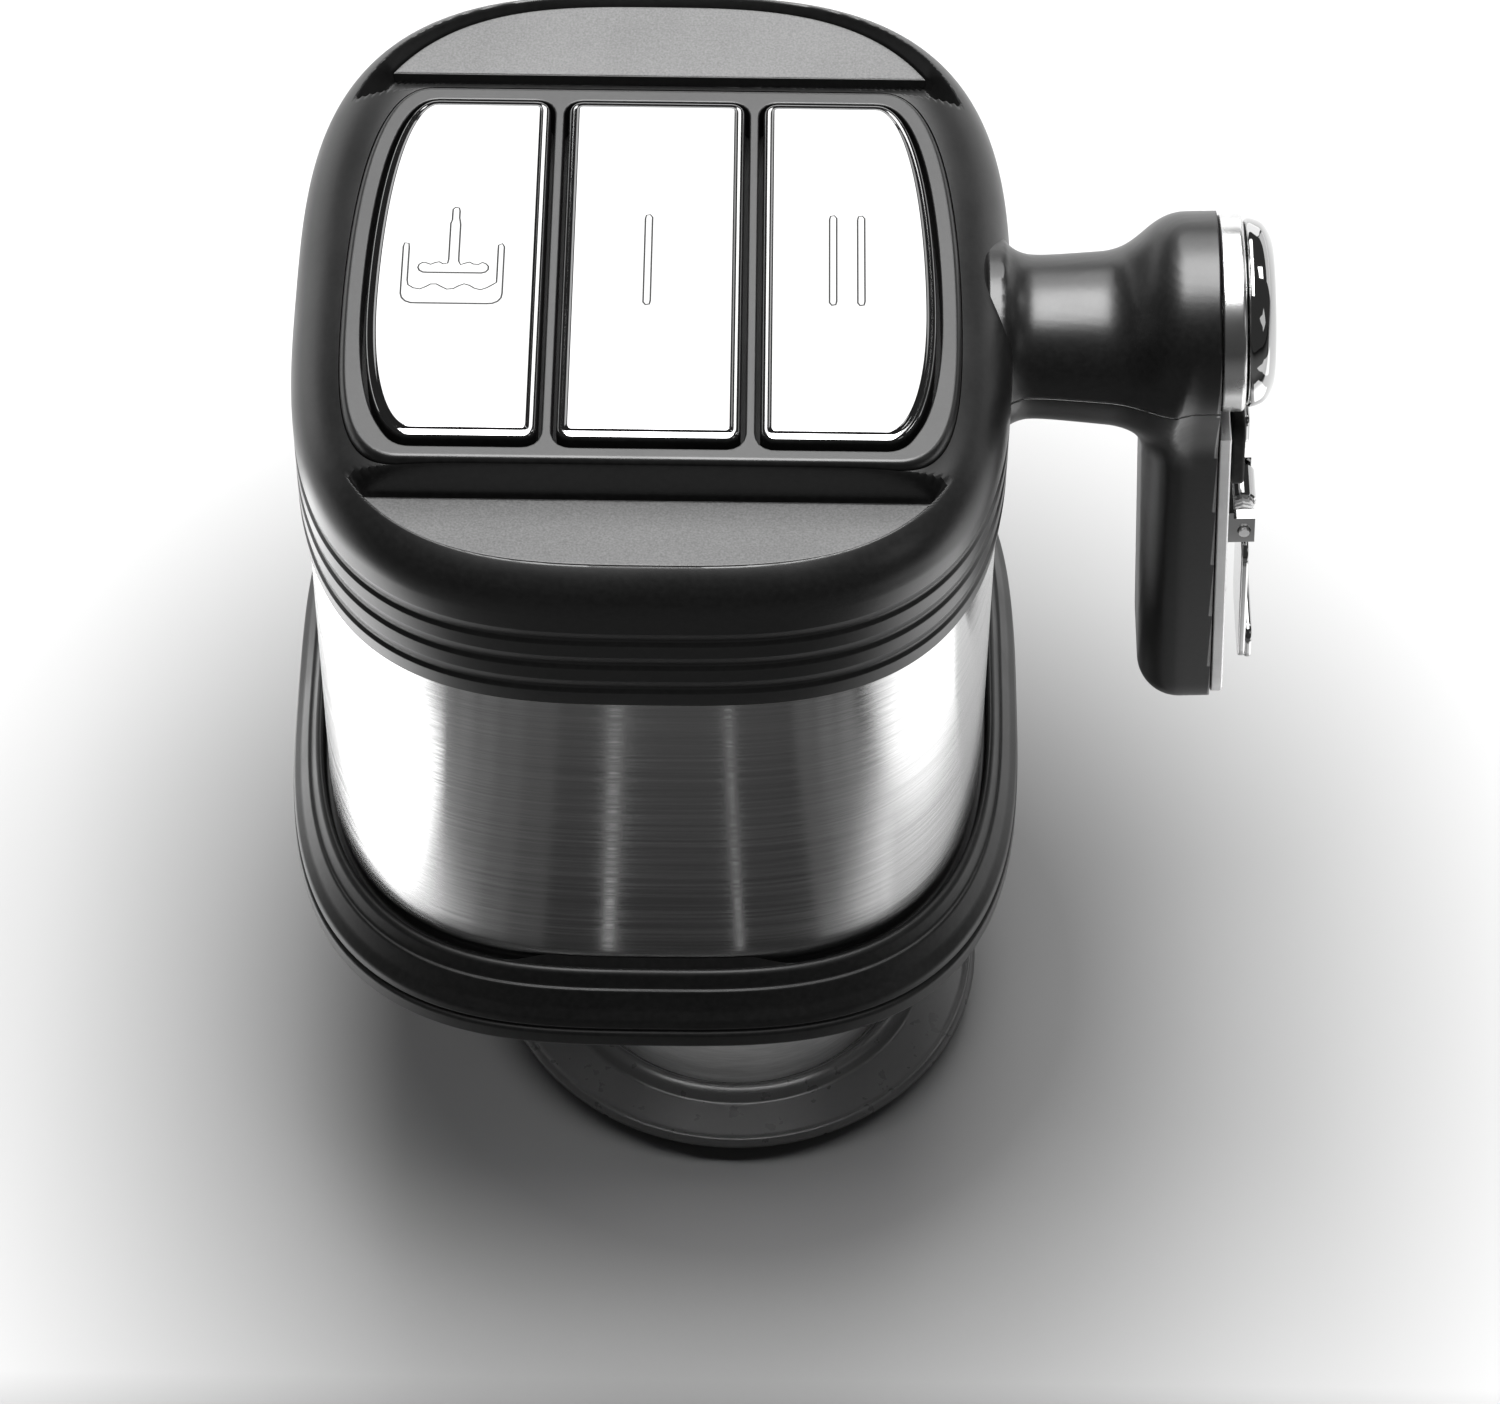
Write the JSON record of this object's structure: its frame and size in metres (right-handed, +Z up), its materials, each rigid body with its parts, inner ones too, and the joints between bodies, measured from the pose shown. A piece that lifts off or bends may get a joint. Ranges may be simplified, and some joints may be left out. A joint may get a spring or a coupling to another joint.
{
  "type": "immersion circulator",
  "caption": "Immersion water circulator: rounded-square head with three large press keys, steel band, side hook arm with dial and lever, steel sleeve on a round foot.",
  "frame": {"origin": "centre of the flat underside of the round foot", "axes": "+Z up through the steel sleeve, -Y the front edge of the keys, +X towards the side arm"},
  "size_m": [0.1851, 0.1618, 0.2246],
  "materials": {
    "satin_black": "satin moulded plastic with a fine grain",
    "gloss_black": "polished black plastic",
    "grey_inlay": "fine grained grey plastic inlay",
    "chrome": "mirror polished chrome plate",
    "brushed_steel": "stainless steel with a horizontal brushed grain",
    "steel": "plain stainless steel",
    "rubber": "matt black rubber",
    "board": "green laminate circuit board",
    "white_plastic": "white plastic component body",
    "winding": "varnished copper winding",
    "brass": "plain turned brass"
  },
  "bodies": {
    "body": {"foot_ring": "gloss_black", "foot_plate": "rubber", "immersion_sleeve": "steel", "heater_coil": "steel", "seal_plate": "rubber", "temperature_probe": "steel", "level_rod_low": "steel", "level_rod_high": "steel", "motor_mount": "satin_black", "motor_can": "brushed_steel", "lower_bearing": "steel", "upper_bearing": "steel", "base_flange": "satin_black", "base_floor": "satin_black", "cord_gland": "rubber", "sleeve_collar": "satin_black", "steel_band": "brushed_steel", "cap_gasket": "rubber", "top_cap": "satin_black", "pocket_inlay_rear": "grey_inlay", "pocket_inlay_front": "grey_inlay", "key_panel": "satin_black", "key_board": "board", "switch_tray": "satin_black", "power_board": "board", "power_transformer": "winding", "power_capacitor": "white_plastic", "power_relay": "white_plastic", "arm_upper_shell": "satin_black", "arm_lower_shell": "satin_black", "arm_core_tube": "steel", "arm_nut": "brass", "arm_fascia": "chrome", "dial_encoder": "rubber", "back_plate": "brushed_steel", "grip_pad": "rubber", "lever_bracket": "chrome", "lever_pin": "steel", "lever_spring": "steel", "lever_switch": "rubber", "key_spring_left": "steel", "key_switch_left": "rubber", "key_spring_middle": "steel", "key_switch_middle": "rubber", "key_spring_right": "steel", "key_switch_right": "rubber", "tie_rod_1": "steel", "tie_rod_2": "steel", "tie_rod_3": "steel", "tie_rod_4": "steel"},
    "key_left": {"key_left": "chrome"},
    "key_middle": {"key_middle": "chrome"},
    "key_right": {"key_right": "chrome"},
    "rotor": {"drive_shaft": "steel", "impeller": "gloss_black", "cooling_fan": "satin_black"},
    "dial": {"arm_dial": "chrome", "dial_shaft": "steel"},
    "lock_button": {"lock_button": "chrome"},
    "trigger_lever": {"trigger_lever": "chrome"}
  },
  "joints": [
    {"name": "key_left_press", "type": "slide", "parent": "body", "child": "key_left", "axis": [0, 0, -1], "range_m": [0, 0.003], "stiffness_N_per_m": 400, "springref_m": -0.002, "deforming": ["key_spring_left"]},
    {"name": "key_middle_press", "type": "slide", "parent": "body", "child": "key_middle", "axis": [0, 0, -1], "range_m": [0, 0.003], "stiffness_N_per_m": 400, "springref_m": -0.002, "deforming": ["key_spring_middle"]},
    {"name": "key_right_press", "type": "slide", "parent": "body", "child": "key_right", "axis": [0, 0, -1], "range_m": [0, 0.003], "stiffness_N_per_m": 400, "springref_m": -0.002, "deforming": ["key_spring_right"]},
    {"name": "pump_spin", "type": "hinge", "parent": "body", "child": "rotor", "pos_m": [0, 0, 0.1], "axis": [0, 0, 1], "continuous": true},
    {"name": "dial_turn", "type": "hinge", "parent": "body", "child": "dial", "pos_m": [0.0895, 0, 0.20621], "axis": [0.9986, 0, 0.0523], "continuous": true},
    {"name": "lock_press", "type": "slide", "parent": "body", "child": "lock_button", "axis": [-0.9986, 0, -0.0523], "range_m": [0, 0.0012], "stiffness_N_per_m": 400, "springref_m": -0.001},
    {"name": "lever_press", "type": "hinge", "parent": "body", "child": "trigger_lever", "pos_m": [0.09396, 0, 0.15537], "axis": [0, 1, 0], "range_deg": [0, 4], "stiffness_Nm_per_rad": 0.3, "springref_deg": -2.86}
  ]
}
